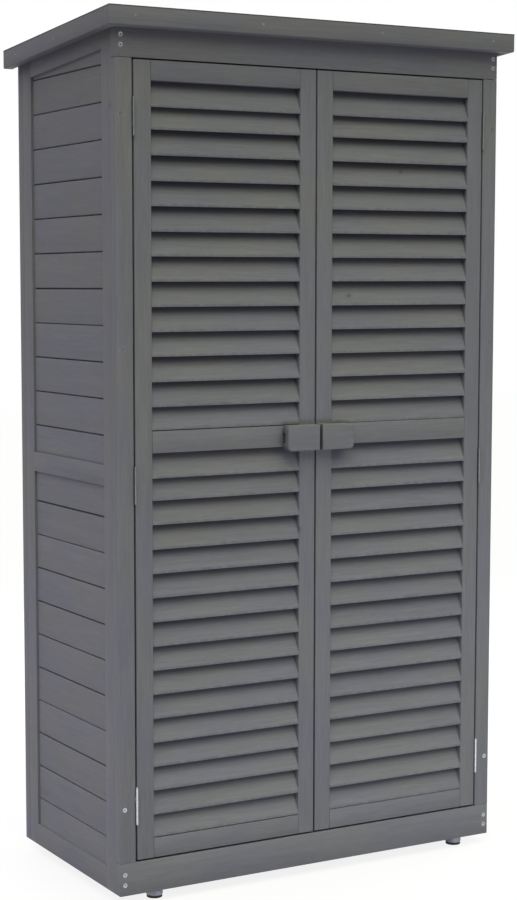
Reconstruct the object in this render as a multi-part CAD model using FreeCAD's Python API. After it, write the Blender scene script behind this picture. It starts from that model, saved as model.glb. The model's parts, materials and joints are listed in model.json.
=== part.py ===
import FreeCAD, Part
import os

# Two-door garden storage cabinet of painted fir, in millimetres.
# The origin is on the floor under the centre of the roof. The doors face -Y, +Z is up,
# and left and right are as seen from the front, so left is -X.

Vector = FreeCAD.Vector
up = Vector(0, 0, 1)
to_back = Vector(0, 1, 0)
to_right = Vector(1, 0, 0)

# Overall size, over the roof edges and from the floor to the top of the roof
overall_width = 870.0
overall_depth = 465.0
overall_height = 1600.0

# Roof
roof_fall = 30.0
roof_overhang_back = 17.5
felt_thickness = 1.5
deck_thickness = 18.0
deck_board_width = 88.0
fascia_height = 32.5
fascia_thickness = 19.0
fascia_clearance = 4.0
fascia_edge_round = 2.0
roof_batten_width = 20.0
roof_batten_height = 20.0

# Feet
foot_cap_diameter = 31.0
foot_cap_height = 15.5
foot_pad_diameter = 29.0
foot_pad_height = 4.5
foot_inset_left = 85.0
foot_inset_right = 62.0
foot_inset_front = 31.0
foot_edge_round = 1.5

# Front frame
front_thickness = 19.0
post_width = 32.0
header_height = 64.0
plinth_height = 60.0

# Doors
door_gap = 3.0
door_floor_gap = 3.6
door_stile_width = 34.0
door_top_rail_height = 34.6
door_mid_rail_height = 39.3
door_bottom_rail_height = 36.0
door_lower_bay_height = 702.3
tenon_length = 12.0
tenon_thickness = 7.0
tenon_shoulder = 6.0

# Louvre slats
slat_pitch_nominal = 44.25
slat_lowest_step = 41.8
slat_highest_step = 39.5
slat_highest_cover = 45.7
slat_overlap = 2.5
slat_nose_height = 5.0
slat_heel_depth = 6.0
slat_top_thickness = 2.4
slat_setback = 0.5
slat_back_clearance = 0.2
slat_housing_depth = 6.0
slat_lower_gap = 1.3

# Side panels
side_thickness = 18.0
side_stile_width = 38.0
side_rail_height = 42.0
side_mid_rail_height = 37.2
side_lower_bay_height = 700.3

# Back panel
back_thickness = 21.0
back_stile_width = 42.0

# Tongued and grooved planks of the side and back panels
plank_thickness = 9.0
plank_cover = 65.6
plank_recess = 5.5
plank_edge_housing = 6.0
plank_v = 2.0
tongue_thickness = 3.0
tongue_height = 5.0
tongue_clearance = 0.2
starter_strip_height = 5.6
lower_starter_cover = 58.1
thinnest_strip = 8.0

# Floor and shelves
bearer_width = 42.0
floor_thickness = 10.0
floor_board_width = 86.0
floor_board_gap = 1.0
lower_shelf_height = 545.0
upper_shelf_height = 1025.0
shelf_thickness = 12.0
shelf_board_count = 4
shelf_board_gap = 6.0
shelf_side_clearance = 0.5
shelf_front_setback = 12.0
shelf_batten_width = 40.0
shelf_batten_thickness = 12.0
cleat_width = 20.0
cleat_height = 25.0

# Door stops and magnetic catches
stop_thickness = 20.0
stop_overlap = 15.0
top_stop_height = 42.0
strike_width = 30.0
strike_height = 14.0
strike_thickness = 1.0
catch_width = 45.0
catch_depth = 16.0
catch_height = 14.0
catch_offset = 45.0
magnet_width = 24.0
magnet_height = 6.0
magnet_depth = 8.0

# Hinges
hinge_length = 68.0
hinge_inset_top = 97.8
hinge_inset_bottom = 100.2
hinge_inset_middle = 745.8
leaf_thickness = 1.2
leaf_width = 17.0
barrel_diameter = 4.2
hinge_pin_diameter = 2.5
pin_clearance = 0.05
barrel_forward = 2.3
knuckle_count = 5
knuckle_gap = 0.3
barrel_relief = 0.3
hinge_screw_spacing = 24.0
hinge_screw_head = 5.0
hinge_screw_shank = 2.4
hinge_screw_length = 14.0

# Handles
handle_width = 69.0
handle_height = 48.0
handle_depth = 22.0
handle_gap = 6.0
handle_drop = 7.9
handle_corner_radius = 9.0
handle_edge_radius = 3.0
finger_slot_depth = 9.0
finger_slot_height = 19.0
finger_slot_length = 14.0
handle_screw_inset = 18.0
handle_screw_spacing = 31.0
handle_screw_head = 7.0
handle_screw_shank = 3.5
handle_screw_bite = 14.0

# Frame screws and fascia nails
screw_head = 8.0
screw_shank = 3.5
screw_length = 45.0
screw_edge = 10.0
header_screw_pitch = 17.5
header_screw_rise = 20.7
plinth_screw_pitch = 19.0
plinth_screw_rise = 20.0
post_screw_inset_top = 96.8
post_screw_inset_bottom = 99.5
post_screw_inset_middle = 507.8
recess_depth = 1.2
recess_width = 1.1
recess_share_of_head = 0.6
nail_head = 4.0
nail_head_thickness = 1.0
nail_shank = 2.0
nail_length = 40.0
nail_drop = 16.0
nail_end_front = 51.0
nail_end_side = 55.0
side_nail_pitch = 177.5
front_nail_count = 4
side_nail_count = 2

# Distance within which two places count as one
same_place = 1e-6

# Planes that follow from the sizes above
roof_front = -overall_depth / 2
roof_back = overall_depth / 2
roof_side = overall_width / 2
body_side = roof_side - fascia_thickness - fascia_clearance
body_front = roof_front + fascia_thickness + fascia_clearance
body_back = roof_back - roof_overhang_back
roof_slope = roof_fall / overall_depth
deck_drop = felt_thickness + deck_thickness
fascia_bottom = felt_thickness + fascia_height
body_bottom = foot_cap_height + foot_pad_height
frame_back = body_front + front_thickness
back_inside = body_back - back_thickness
side_inside = body_side - side_thickness
opening_side = body_side - post_width
opening_bottom = body_bottom + plinth_height
door_bottom = opening_bottom + door_floor_gap
rail_bottom_top = door_bottom + door_bottom_rail_height
mid_rail_bottom = rail_bottom_top + door_lower_bay_height
mid_rail_top = mid_rail_bottom + door_mid_rail_height
floor_bottom = body_bottom + side_rail_height
floor_top = floor_bottom + floor_thickness


def roof_z(y, drop):
    """Height of the plane that lies `drop` below the top of the roof, at depth y."""
    return overall_height - drop - roof_slope * (y - roof_front)


opening_top = roof_z(body_front, deck_drop) - header_height
door_top = opening_top - door_gap
top_rail_bottom = door_top - door_top_rail_height
hinge_axis_x = opening_side - door_gap / 2
hinge_axis_y = body_front - barrel_forward
hinge_heights = [
    door_bottom + hinge_inset_bottom,
    door_top - hinge_inset_middle,
    door_top - hinge_inset_top,
]


def box(x0, x1, y0, y1, z0, z1):
    return Part.makeBox(x1 - x0, y1 - y0, z1 - z0, Vector(x0, y0, z0))


def prism_along_x(outline, x0, x1):
    """Solid with a (y, z) outline between two x planes."""
    points = [Vector(x0, y, z) for y, z in outline]
    face = Part.Face(Part.makePolygon(points + points[:1]))
    return face.extrude(Vector(x1 - x0, 0, 0))


def prism_along_y(outline, y0, y1):
    """Solid with an (x, z) outline between two y planes."""
    points = [Vector(x, y0, z) for x, z in outline]
    face = Part.Face(Part.makePolygon(points + points[:1]))
    return face.extrude(Vector(0, y1 - y0, 0))


def under_roof(x0, x1, y0, y1, z0, drop=deck_drop):
    """Upright board from z0 up to the sloping plane `drop` below the roof top."""
    outline = [(y0, z0), (y1, z0), (y1, roof_z(y1, drop)), (y0, roof_z(y0, drop))]
    return prism_along_x(outline, x0, x1)


def roof_layer(x0, x1, y0, y1, drop_top, drop_bottom):
    """Piece that lies between two planes parallel to the roof."""
    outline = [
        (y0, roof_z(y0, drop_bottom)),
        (y1, roof_z(y1, drop_bottom)),
        (y1, roof_z(y1, drop_top)),
        (y0, roof_z(y0, drop_top)),
    ]
    return prism_along_x(outline, x0, x1)


def mirrored(shape):
    """The same shape on the other side of the cabinet."""
    return shape.mirror(Vector(0, 0, 0), to_right)


def all_mirrored(shapes):
    return [mirrored(shape) for shape in shapes]


def evenly(first, last, count):
    """Places from the first to the last, equally far apart."""
    step = (last - first) / max(1, count - 1)
    return [first + i * step for i in range(count)]


def divided(low, high, nominal, gap=0.0):
    """Start and end of equal strips, as near to the nominal width as fit between two ends."""
    count = max(1, round((high - low + gap) / (nominal + gap)))
    width = (high - low - gap * (count - 1)) / count
    return [(low + i * (width + gap), low + i * (width + gap) + width) for i in range(count)]


def save(node, shapes):
    solids = [solid for shape in shapes for solid in shape.Solids]
    piece = solids[0] if len(solids) == 1 else Part.makeCompound(solids)
    piece.exportStep("parts/" + node + ".step")


def screw(point, direction, head, shank, length, recessed=True):
    """Countersunk screw whose flat head lies at `point` and which bites along `direction`."""
    head_height = (head - shank) / 2
    cone = Part.makeCone(head / 2, shank / 2, head_height, point, direction)
    rod = Part.makeCylinder(shank / 2, length, point, direction)
    body = cone.fuse(rod).removeSplitter()
    if recessed:
        body = body.cut(cross_recess(point, direction, head))
    return body


def cross_recess(point, direction, head):
    """Two crossed slots for a driver, sunk into a screw head."""
    span = head * recess_share_of_head
    slots = [
        Part.makeBox(across, along, recess_depth, Vector(-across / 2, -along / 2, 0))
        for across, along in ((span, recess_width), (recess_width, span))
    ]
    cross = slots[0].fuse(slots[1])
    cross.Placement = FreeCAD.Placement(point, FreeCAD.Rotation(up, direction))
    return cross


def cut_for(shape, tools):
    """The shape with room cut in it for what goes into it."""
    return shape.cut(Part.makeCompound(tools)) if tools else shape


# Frame screws, at the same places left and right

header_low_screw = opening_top + header_screw_rise
plinth_low_screw = body_bottom + plinth_screw_rise
header_screw_heights = [header_low_screw, header_low_screw + header_screw_pitch]
plinth_screw_heights = [plinth_low_screw, plinth_low_screw + plinth_screw_pitch]
post_screw_heights = [
    opening_bottom + post_screw_inset_bottom,
    opening_top - post_screw_inset_middle,
    opening_top - post_screw_inset_top,
]
frame_screw_heights = plinth_screw_heights + post_screw_heights + header_screw_heights


def frame_screws(recessed=True):
    """Screws through the front frame into the front stiles of both side panels."""
    return [
        screw(Vector(x, body_front, z), to_back, screw_head, screw_shank, screw_length, recessed)
        for x in (screw_edge - body_side, body_side - screw_edge)
        for z in frame_screw_heights
    ]


# Hinges: leaves folded into the gap between post and door, barrel in front of it.
# Everything is drawn for the left door and mirrored for the right one.

post_face_x = -opening_side
door_edge_x = door_gap - opening_side
into_post = -to_right
into_door = to_right


def barrel(radius, z0, z1):
    """Upright cylinder on the hinge axis of the left door."""
    return Part.makeCylinder(radius, z1 - z0, Vector(-hinge_axis_x, hinge_axis_y, z0))


def knuckle_spans(middle, first):
    """Heights of every second knuckle of one hinge, from knuckle number `first` up."""
    step = hinge_length / knuckle_count
    low = middle - hinge_length / 2
    return [(low + i * step, low + (i + 1) * step) for i in range(first, knuckle_count, 2)]


def hinge_screws(middle, face_x, direction, recessed=True):
    """The three screws of one leaf of a hinge."""
    y = body_front + leaf_width / 2
    return [
        screw(
            Vector(face_x, y, middle + k * hinge_screw_spacing),
            direction,
            hinge_screw_head,
            hinge_screw_shank,
            hinge_screw_length,
            recessed,
        )
        for k in (-1, 0, 1)
    ]


def hinge_leaf(middle, wood_x, direction, first_knuckle, bore):
    """Leaf that lies on the wood at wood_x, with every second knuckle and its screw holes."""
    low = middle - hinge_length / 2
    high = middle + hinge_length / 2
    face_x = wood_x - direction.x * leaf_thickness
    x0 = min(wood_x, face_x)
    leaf = box(x0, x0 + leaf_thickness, hinge_axis_y, body_front + leaf_width, low, high)
    relief = barrel_diameter / 2 + barrel_relief
    leaf = cut_for(leaf, [barrel(relief, z0, z1) for z0, z1 in knuckle_spans(middle, 1 - first_knuckle)])
    for z0, z1 in knuckle_spans(middle, first_knuckle):
        leaf = leaf.fuse(barrel(barrel_diameter / 2, z0 + knuckle_gap / 2, z1 - knuckle_gap / 2))
    holes = hinge_screws(middle, face_x, direction, recessed=False)
    return cut_for(leaf, [barrel(bore / 2, low, high)] + holes)


def post_hinge_screws(recessed=True):
    face_x = post_face_x + leaf_thickness
    return [s for z in hinge_heights for s in hinge_screws(z, face_x, into_post, recessed)]


def door_hinge_screws(recessed=True):
    face_x = door_edge_x - leaf_thickness
    return [s for z in hinge_heights for s in hinge_screws(z, face_x, into_door, recessed)]


def make_hinges():
    running_bore = hinge_pin_diameter + 2 * pin_clearance
    frame_leaves = [hinge_leaf(z, post_face_x, into_post, 0, hinge_pin_diameter) for z in hinge_heights]
    door_leaves = [hinge_leaf(z, door_edge_x, into_door, 1, running_bore) for z in hinge_heights]
    half = hinge_length / 2
    pins = [barrel(hinge_pin_diameter / 2, z - half, z + half) for z in hinge_heights]
    save("hinge_frame_leaves", frame_leaves + all_mirrored(frame_leaves))
    save("hinge_pins", pins + all_mirrored(pins))
    save("hinge_frame_screws", post_hinge_screws() + all_mirrored(post_hinge_screws()))
    save("left_hinge_leaves", door_leaves)
    save("right_hinge_leaves", all_mirrored(door_leaves))
    save("left_hinge_screws", door_hinge_screws())
    save("right_hinge_screws", all_mirrored(door_hinge_screws()))


# Front frame: the posts stand between the plinth board and the header board

def make_front_frame():
    holes = frame_screws(recessed=False)
    hinge_holes = post_hinge_screws(recessed=False)
    post = box(-body_side, post_face_x, body_front, frame_back, opening_bottom, opening_top)
    left_post = cut_for(post, holes + hinge_holes)
    right_post = cut_for(mirrored(post), holes + all_mirrored(hinge_holes))
    header = under_roof(-body_side, body_side, body_front, frame_back, opening_top)
    plinth = box(-body_side, body_side, body_front, frame_back, body_bottom, opening_bottom)
    save("front_left_post", [left_post])
    save("front_right_post", [right_post])
    save("header_board", [cut_for(header, holes)])
    save("plinth_board", [cut_for(plinth, holes)])
    save("frame_screws", frame_screws())


# Framed panels of the sides and the back. A panel is drawn lying along x from 0 to its length,
# with its outer face on y = 0 and its thickness towards +y.

plank_inner_face = plank_recess + plank_thickness


def plank_strip(x0, x1, z0, z1, grooved, tongued):
    """Plank from z0 to z1 with a groove below and a tongue above, and a V at each open joint."""
    outer = plank_recess
    inner = plank_inner_face
    middle = (outer + inner) / 2
    half = tongue_thickness / 2
    slack = half + tongue_clearance
    roof_of_groove = z0 + tongue_height + tongue_clearance
    outline = [(outer, z0)]
    if grooved:
        outline = [
            (outer, z0 + plank_v),
            (outer + plank_v, z0),
            (middle - slack, z0),
            (middle - slack, roof_of_groove),
            (middle + slack, roof_of_groove),
            (middle + slack, z0),
        ]
    outline += [(inner, z0), (inner, z1)]
    if tongued:
        outline += [
            (middle + half, z1),
            (middle + half, z1 + tongue_height),
            (middle - half, z1 + tongue_height),
            (middle - half, z1),
            (outer + plank_v, z1),
            (outer, z1 - plank_v),
        ]
    else:
        outline += [(outer, z1)]
    return prism_along_x(outline, x0, x1)


def framed_panel(length, thickness, stile_width, top_start, top_end):
    """Stiles, rails and planks of a panel whose top edge runs from top_start to top_end."""
    reach = plank_edge_housing
    left = stile_width
    right = length - stile_width
    housed_left = left - reach
    housed_right = right + reach
    low_rail_top = body_bottom + side_rail_height
    mid_low = low_rail_top + side_lower_bay_height
    mid_high = mid_low + side_mid_rail_height

    def top(x):
        return top_start + (top_end - top_start) * x / length

    def under_top_rail(x):
        return top(x) - side_rail_height

    def level(z):
        return lambda x: z

    def between(x0, x1, low, high, y0, y1):
        """Piece between two lines, each given as a height at any x."""
        outline = [(x0, low(x0)), (x1, low(x1)), (x1, high(x1)), (x0, high(x0))]
        return prism_along_y(outline, y0, y1)

    def rail(low, high):
        """Rail between the stiles with a stub tongue at each end, as thick as the planks."""
        tongue = between(housed_left, housed_right, low, high, plank_recess, plank_inner_face)
        return between(left, right, low, high, 0, thickness).fuse(tongue)

    def planks(space, z0, first_joint, highest):
        """Strips from the top of the bay down into its lower housing."""
        joints = [first_joint]
        while joints[-1] - plank_cover > z0 + thinnest_strip:
            joints.append(joints[-1] - plank_cover)
        top_strip = plank_strip(housed_left, housed_right, first_joint, highest, True, False)
        strips = [top_strip.common(space)]
        for high, low in zip(joints, joints[1:]):
            strips.append(plank_strip(housed_left, housed_right, low, high, True, True))
        low_strip = plank_strip(housed_left, housed_right, z0 - reach, joints[-1], False, True)
        return strips + [low_strip]

    rails = [
        rail(level(body_bottom), level(low_rail_top)),
        rail(level(mid_low), level(mid_high)),
        rail(under_top_rail, top),
    ]

    def plank_space(low, high):
        """Room for the planks of one bay, let into the frame on all four sides."""
        return between(housed_left, housed_right, low, high, plank_recess, plank_inner_face)

    upper_space = plank_space(level(mid_high - reach), lambda x: under_top_rail(x) + reach)
    lower_space = plank_space(level(low_rail_top - reach), level(mid_low + reach))
    rails = [cut_for(piece, [upper_space, lower_space]) for piece in rails]
    held = [upper_space, lower_space] + rails
    stiles = [
        cut_for(between(x0, x1, level(body_bottom), top, 0, thickness), held)
        for x0, x1 in ((0, left), (right, length))
    ]
    first_upper = min(under_top_rail(left), under_top_rail(right)) - starter_strip_height
    boards = planks(upper_space, mid_high, first_upper, max(top_start, top_end))
    boards += planks(lower_space, low_rail_top, mid_low - lower_starter_cover, mid_low + reach)
    return stiles, rails, boards


def placed(shapes, turn, x, y):
    """Turn flat-drawn shapes about the vertical and move them to their place."""
    placement = FreeCAD.Placement(Vector(x, y, 0), FreeCAD.Rotation(up, turn))
    return [shape.transformed(placement.toMatrix()) for shape in shapes]


def make_side_panels():
    depth = back_inside - frame_back
    front_top = roof_z(frame_back, deck_drop)
    back_top = roof_z(back_inside, deck_drop)
    holes = frame_screws(recessed=False)
    panel = framed_panel(depth, side_thickness, side_stile_width, front_top, back_top)
    right_panel = [placed(shapes, 90, body_side, frame_back) for shapes in panel]
    left_panel = [all_mirrored(shapes) for shapes in right_panel]
    for side, (stiles, rails, planks) in (("right", right_panel), ("left", left_panel)):
        front_stile, back_stile = stiles
        save(side + "_front_stile", [cut_for(front_stile, holes)])
        save(side + "_back_stile", [back_stile])
        save(side + "_side_rails", rails)
        save(side + "_side_planks", planks)


def make_back_panel():
    """The back panel covers the ends of both side panels and is trimmed to the roof's slope."""
    top = roof_z(back_inside, deck_drop)
    above = roof_layer(-roof_side, roof_side, roof_front, roof_back, 0, deck_drop)
    panel = framed_panel(2 * body_side, back_thickness, back_stile_width, top, top)
    stiles, rails, planks = [placed(shapes, 180, body_side, body_back) for shapes in panel]
    save("back_stiles", [stile.cut(above) for stile in stiles])
    save("back_rails", [rail.cut(above) for rail in rails])
    save("back_planks", planks)


# Roof: deck boards inside four fascia boards, with felt over all of them. The front and side
# boards hang below the deck, the back one does not.

def nail(point, direction):
    """Flat-headed nail with its head flush at `point`, driven along `direction`."""
    head = Part.makeCylinder(nail_head / 2, nail_head_thickness, point, direction)
    return head.fuse(Part.makeCylinder(nail_shank / 2, nail_length, point, direction))


def fascia_nails():
    """Nails through the fascia boards into the deck; the back board is as high as the deck."""
    middle_of_deck = (felt_thickness + deck_drop) / 2
    nails = []
    for x in evenly(nail_end_front - roof_side, roof_side - nail_end_front, front_nail_count):
        nails.append(nail(Vector(x, roof_front, roof_z(roof_front, nail_drop)), to_back))
        nails.append(nail(Vector(x, roof_back, roof_z(roof_back, middle_of_deck)), -to_back))
    for i in range(side_nail_count):
        y = roof_back - nail_end_side - i * side_nail_pitch
        nails.append(nail(Vector(-roof_side, y, roof_z(y, nail_drop)), to_right))
        nails.append(nail(Vector(roof_side, y, roof_z(y, nail_drop)), -to_right))
    return nails


def rounded_fascia(board):
    """Hanging fascia board with the outer edges of its underside rounded."""

    def is_outer_and_low(point):
        outer = abs(abs(point.x) - roof_side) < same_place or abs(point.y - roof_front) < same_place
        return outer and abs(point.z - roof_z(point.y, fascia_bottom)) < same_place

    low_edges = [
        edge
        for edge in board.Edges
        if all(is_outer_and_low(point) for point in [edge.CenterOfMass] + [v.Point for v in edge.Vertexes])
    ]
    return board.makeFillet(fascia_edge_round, low_edges)


def make_roof():
    nails = fascia_nails()
    inside_x = roof_side - fascia_thickness
    inside_front = roof_front + fascia_thickness
    inside_back = roof_back - fascia_thickness
    hanging_fascias = {
        "front_fascia": (-roof_side, roof_side, roof_front, inside_front),
        "left_fascia": (-roof_side, -inside_x, inside_front, roof_back),
        "right_fascia": (inside_x, roof_side, inside_front, roof_back),
    }
    for name, outline in hanging_fascias.items():
        board = roof_layer(*outline, felt_thickness, fascia_bottom)
        save(name, [cut_for(rounded_fascia(board), nails)])
    back_fascia = roof_layer(-inside_x, inside_x, inside_back, roof_back, felt_thickness, deck_drop)
    save("back_fascia", [cut_for(back_fascia, nails)])
    boards = [
        cut_for(roof_layer(-inside_x, inside_x, y0, y1, felt_thickness, deck_drop), nails)
        for y0, y1 in divided(inside_front, inside_back, deck_board_width)
    ]
    save("roof_boards", boards)
    save("roof_felt", [roof_layer(-roof_side, roof_side, roof_front, roof_back, 0, felt_thickness)])
    save("fascia_nails", nails)
    batten_bottom = deck_drop + roof_batten_height
    inner = side_inside - roof_batten_width
    batten = roof_layer(inner, side_inside, frame_back, back_inside, deck_drop, batten_bottom)
    save("roof_battens", [mirrored(batten), batten])


# Floor, shelves, door stops and feet

def make_floor():
    front = box(-side_inside, side_inside, frame_back, frame_back + bearer_width, body_bottom, floor_bottom)
    back = box(-side_inside, side_inside, back_inside - bearer_width, back_inside, body_bottom, floor_bottom)
    save("floor_bearers", [front, back])
    boards = [
        box(x0, x1, frame_back + stop_thickness, back_inside, floor_bottom, floor_top)
        for x0, x1 in divided(-side_inside, side_inside, floor_board_width, floor_board_gap)
    ]
    save("floor_boards", boards)


def make_shelf(node, top):
    """Boards that lie lengthwise over the cleats, tied by a batten under their middle."""
    reach = side_inside - shelf_side_clearance
    front = frame_back + shelf_front_setback
    width = (back_inside - front - shelf_board_gap * (shelf_board_count - 1)) / shelf_board_count
    low = top - shelf_thickness
    boards = []
    for i in range(shelf_board_count):
        y = front + i * (width + shelf_board_gap)
        boards.append(box(-reach, reach, y, y + width, low, top))
    half = shelf_batten_width / 2
    batten = box(-half, half, front, back_inside, low - shelf_batten_thickness, low)
    save(node, boards + [batten])


def make_shelves():
    make_shelf("lower_shelf", lower_shelf_height)
    make_shelf("upper_shelf", upper_shelf_height)
    front = frame_back + shelf_front_setback
    cleats = []
    for top in (lower_shelf_height, upper_shelf_height):
        under = top - shelf_thickness
        cleat = box(side_inside - cleat_width, side_inside, front, back_inside, under - cleat_height, under)
        cleats += [mirrored(cleat), cleat]
    save("shelf_cleats", cleats)


def make_door_stops():
    """Boards behind the door edges at top and bottom, with the catches under the upper one."""
    back = frame_back + stop_thickness
    low = opening_top - stop_overlap
    top_stop = box(-side_inside, side_inside, frame_back, back, low, low + top_stop_height)
    bottom_high = opening_bottom + stop_overlap
    bottom_stop = box(-side_inside, side_inside, frame_back, back, floor_bottom, bottom_high)
    save("door_stops", [top_stop, bottom_stop])
    middle = low - catch_height / 2
    strike_face = frame_back + strike_thickness

    def catch_block(width, front, depth, height):
        """Block centred on the catch of the left door."""
        half = width / 2
        z0 = middle - height / 2
        return box(-catch_offset - half, -catch_offset + half, front, front + depth, z0, z0 + height)

    magnet = catch_block(magnet_width, strike_face, magnet_depth, magnet_height)
    housing = catch_block(catch_width, strike_face, catch_depth, catch_height).cut(magnet)
    strike = catch_block(strike_width, frame_back, strike_thickness, strike_height)
    save("magnet_catches", [housing, magnet, mirrored(housing), mirrored(magnet)])
    save("left_strike_plate", [strike])
    save("right_strike_plate", [mirrored(strike)])


def make_feet():
    caps = []
    pads = []
    for x in (foot_inset_left - body_side, body_side - foot_inset_right):
        for y in (body_front + foot_inset_front, body_back - foot_inset_front):
            cap = Part.makeCylinder(foot_cap_diameter / 2, foot_cap_height, Vector(x, y, foot_pad_height))
            low_edges = [edge for edge in cap.Edges if edge.BoundBox.ZMax < foot_pad_height + same_place]
            caps.append(cap.makeFillet(foot_edge_round, low_edges))
            pads.append(Part.makeCylinder(foot_pad_diameter / 2, foot_pad_height, Vector(x, y, 0)))
    save("foot_caps", caps)
    save("foot_pads", pads)


# Doors: drawn as the left one, mirrored for the right one

door_inner_x = -door_gap / 2
panel_left = door_edge_x + door_stile_width
panel_right = door_inner_x - door_stile_width


def slat_outline(pitch):
    """(y, z) outline of a slat that leans back as far as the door is thick and thins upwards."""
    top = pitch + slat_overlap
    back_y = front_thickness - slat_setback - slat_back_clearance
    face_y = back_y - slat_top_thickness
    return [(0, 0), (slat_heel_depth, 0), (back_y, top), (face_y, top), (0, slat_nose_height)]


def bay_slats(low, high):
    """Slats of one bay, evenly spaced but for the lowest and the highest, which sit closer."""
    lowest = low + slat_lower_gap
    highest = high - slat_highest_cover
    first = lowest + slat_lowest_step
    last = highest - slat_highest_step
    steps = max(1, round((last - first) / slat_pitch_nominal))
    pitch = (last - first) / steps
    x0 = panel_left - slat_housing_depth
    x1 = panel_right + slat_housing_depth
    front = body_front + slat_setback
    slats = []
    for nose in [lowest] + evenly(first, last, steps + 1) + [highest]:
        outline = [(front + y, nose + z) for y, z in slat_outline(pitch)]
        slats.append(prism_along_x(outline, x0, x1))
    slats[-1] = slats[-1].common(box(x0, x1, body_front, frame_back, low, high))
    return slats


def door_rail(z0, z1):
    """Rail between the stiles with a centred tenon at each end."""
    middle = (body_front + frame_back) / 2
    half = tenon_thickness / 2
    rail = box(panel_left, panel_right, body_front, frame_back, z0, z1)
    tenon = box(panel_left - tenon_length, panel_right + tenon_length, middle - half, middle + half,
                z0 + tenon_shoulder, z1 - tenon_shoulder)
    return rail.fuse(tenon)


def handle_screws(recessed=True):
    """Two screws from inside, through the stile and the middle rail into the handle."""
    x = -handle_gap / 2 - handle_screw_inset
    z = mid_rail_bottom - handle_drop + handle_height / 2
    length = front_thickness + handle_screw_bite
    sizes = (handle_screw_head, handle_screw_shank, length)
    return [
        screw(Vector(place, frame_back, z), -to_back, *sizes, recessed)
        for place in (x, x - handle_screw_spacing)
    ]


def handle():
    """Rounded block with a finger hollow let into the back of its outer end."""
    x0 = -handle_gap / 2 - handle_width
    x1 = -handle_gap / 2
    z0 = mid_rail_bottom - handle_drop
    z1 = z0 + handle_height
    front = body_front - handle_depth
    block = box(x0, x1, front, body_front, z0, z1)

    def is_outer_corner(edge):
        bounds = edge.BoundBox
        return bounds.YLength > handle_depth / 2 and bounds.XMax < x0 + same_place

    def is_on_front(edge):
        return edge.BoundBox.YMax < front + same_place

    block = block.makeFillet(handle_corner_radius, [edge for edge in block.Edges if is_outer_corner(edge)])
    block = block.makeFillet(handle_edge_radius, [edge for edge in block.Edges if is_on_front(edge)])
    middle = (z0 + z1) / 2
    half = finger_slot_height / 2
    slot_front = body_front - finger_slot_depth
    slot_end = x0 + finger_slot_length
    hollow = box(x0, slot_end, slot_front, body_front, middle - half, middle + half)
    return cut_for(block, [hollow] + handle_screws(recessed=False))


def make_doors():
    slats = bay_slats(rail_bottom_top, mid_rail_bottom) + bay_slats(mid_rail_top, top_rail_bottom)
    rails = {
        "bottom_rail": door_rail(door_bottom, rail_bottom_top),
        "mid_rail": door_rail(mid_rail_bottom, mid_rail_top),
        "top_rail": door_rail(top_rail_bottom, door_top),
    }
    held = slats + list(rails.values())
    back_screws = handle_screws(recessed=False)
    hinge_stile = box(door_edge_x, panel_left, body_front, frame_back, door_bottom, door_top)
    meeting_stile = box(panel_right, door_inner_x, body_front, frame_back, door_bottom, door_top)
    pieces = {
        "hinge_stile": [cut_for(hinge_stile, held + door_hinge_screws(recessed=False))],
        "meeting_stile": [cut_for(meeting_stile, held + back_screws)],
        "slats": slats,
        "handle": [handle()],
        "handle_screws": handle_screws(),
    }
    for name, rail in rails.items():
        pieces["door_" + name] = [cut_for(rail, back_screws)]
    for name, shapes in pieces.items():
        save("left_" + name, shapes)
        save("right_" + name, all_mirrored(shapes))


os.makedirs("parts", exist_ok=True)
make_front_frame()
make_side_panels()
make_back_panel()
make_roof()
make_floor()
make_shelves()
make_door_stops()
make_feet()
make_hinges()
make_doors()
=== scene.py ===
import json
import math
import random

import bmesh
import bpy
from mathutils import Matrix, Vector

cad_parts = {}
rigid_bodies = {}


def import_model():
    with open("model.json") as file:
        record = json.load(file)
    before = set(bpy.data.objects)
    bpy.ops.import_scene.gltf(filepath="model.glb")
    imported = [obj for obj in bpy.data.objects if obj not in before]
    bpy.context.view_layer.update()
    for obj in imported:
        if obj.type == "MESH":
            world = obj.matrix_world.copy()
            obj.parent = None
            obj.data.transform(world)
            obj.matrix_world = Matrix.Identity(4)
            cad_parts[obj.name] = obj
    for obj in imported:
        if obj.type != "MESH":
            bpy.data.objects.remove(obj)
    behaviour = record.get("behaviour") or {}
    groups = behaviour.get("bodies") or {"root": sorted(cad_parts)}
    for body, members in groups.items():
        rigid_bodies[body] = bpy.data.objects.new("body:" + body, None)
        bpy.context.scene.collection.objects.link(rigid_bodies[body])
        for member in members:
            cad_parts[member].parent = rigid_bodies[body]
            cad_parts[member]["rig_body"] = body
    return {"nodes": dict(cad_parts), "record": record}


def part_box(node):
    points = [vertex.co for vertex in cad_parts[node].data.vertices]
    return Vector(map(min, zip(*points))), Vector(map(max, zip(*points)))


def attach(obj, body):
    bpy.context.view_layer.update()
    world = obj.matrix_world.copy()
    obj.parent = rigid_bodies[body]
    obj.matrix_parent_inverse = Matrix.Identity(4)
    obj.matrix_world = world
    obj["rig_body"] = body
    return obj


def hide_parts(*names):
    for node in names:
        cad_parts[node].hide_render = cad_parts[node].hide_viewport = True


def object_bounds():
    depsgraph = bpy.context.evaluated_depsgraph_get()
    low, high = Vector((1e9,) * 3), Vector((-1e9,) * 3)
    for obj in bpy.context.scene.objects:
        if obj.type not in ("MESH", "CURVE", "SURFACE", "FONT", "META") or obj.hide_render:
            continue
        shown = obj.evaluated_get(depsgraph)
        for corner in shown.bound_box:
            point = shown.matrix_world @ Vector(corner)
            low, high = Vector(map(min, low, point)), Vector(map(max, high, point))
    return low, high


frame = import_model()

# Garden storage cabinet: painted fir boards, louvre slats and planks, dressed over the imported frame.
# Lengths are in metres. The doors face -Y, +Z is up, and left is -X.

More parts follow.
